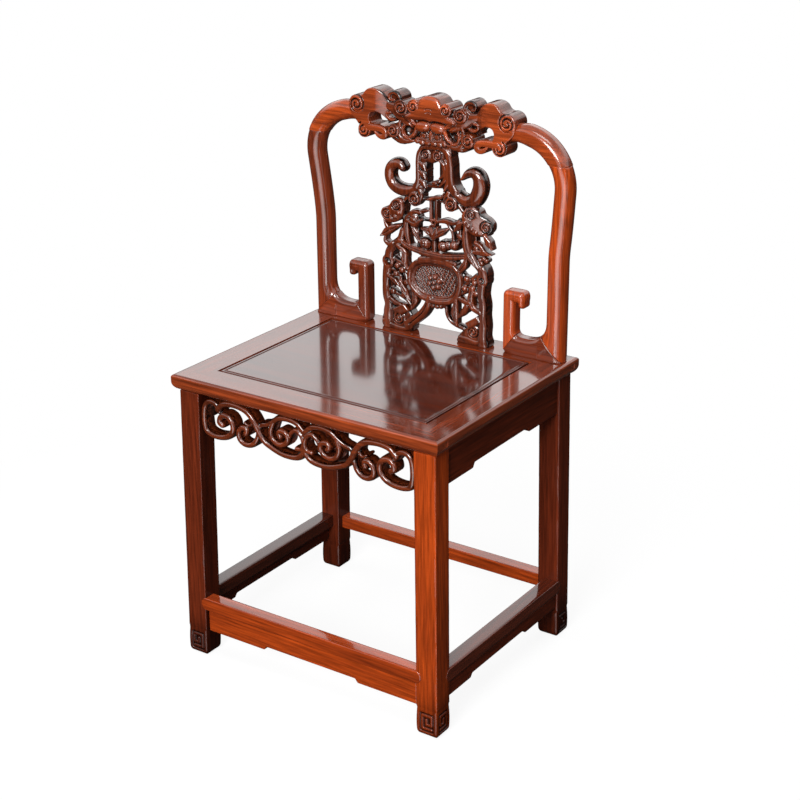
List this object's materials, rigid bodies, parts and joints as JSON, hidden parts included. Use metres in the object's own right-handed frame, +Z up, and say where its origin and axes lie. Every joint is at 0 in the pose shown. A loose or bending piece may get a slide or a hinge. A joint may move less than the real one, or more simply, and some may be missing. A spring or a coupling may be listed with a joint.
{
  "type": "side chair",
  "caption": "Armless hardwood side chair with a framed panel seat, a carved openwork back and crest, a pierced scroll apron and box stretchers on fret-carved feet.",
  "frame": {"origin": "on the floor, under the middle of the seat", "axes": "+Z up, -Y towards the front of the chair, +X to the right as seen from the front"},
  "size_m": [0.5056, 0.42, 0.902],
  "materials": {
    "wood_frame": "glossy lacquer over red-brown hardwood",
    "wood_carved": "glossy lacquer over carved red-brown hardwood",
    "wood_panel": "glossy lacquer over red-brown hardwood"
  },
  "bodies": {
    "root": {"apron_back": "wood_frame", "apron_front_carved": "wood_carved", "apron_left": "wood_frame", "apron_right": "wood_frame", "back_bar_left": "wood_frame", "back_bar_right": "wood_frame", "back_hook_left": "wood_frame", "back_hook_right": "wood_frame", "back_post_left": "wood_frame", "back_post_right": "wood_frame", "back_splat": "wood_carved", "crest_rail": "wood_carved", "leg_back_left": "wood_frame", "leg_back_right": "wood_frame", "leg_front_left": "wood_frame", "leg_front_right": "wood_frame", "seat_batten_left": "wood_frame", "seat_batten_right": "wood_frame", "seat_panel": "wood_panel", "seat_rail_back": "wood_frame", "seat_rail_front": "wood_frame", "seat_rail_left": "wood_frame", "seat_rail_right": "wood_frame", "skirt_front": "wood_frame", "skirt_left": "wood_frame", "skirt_right": "wood_frame", "stretcher_back": "wood_frame", "stretcher_front": "wood_frame", "stretcher_left": "wood_frame", "stretcher_right": "wood_frame"}
  },
  "joints": []
}
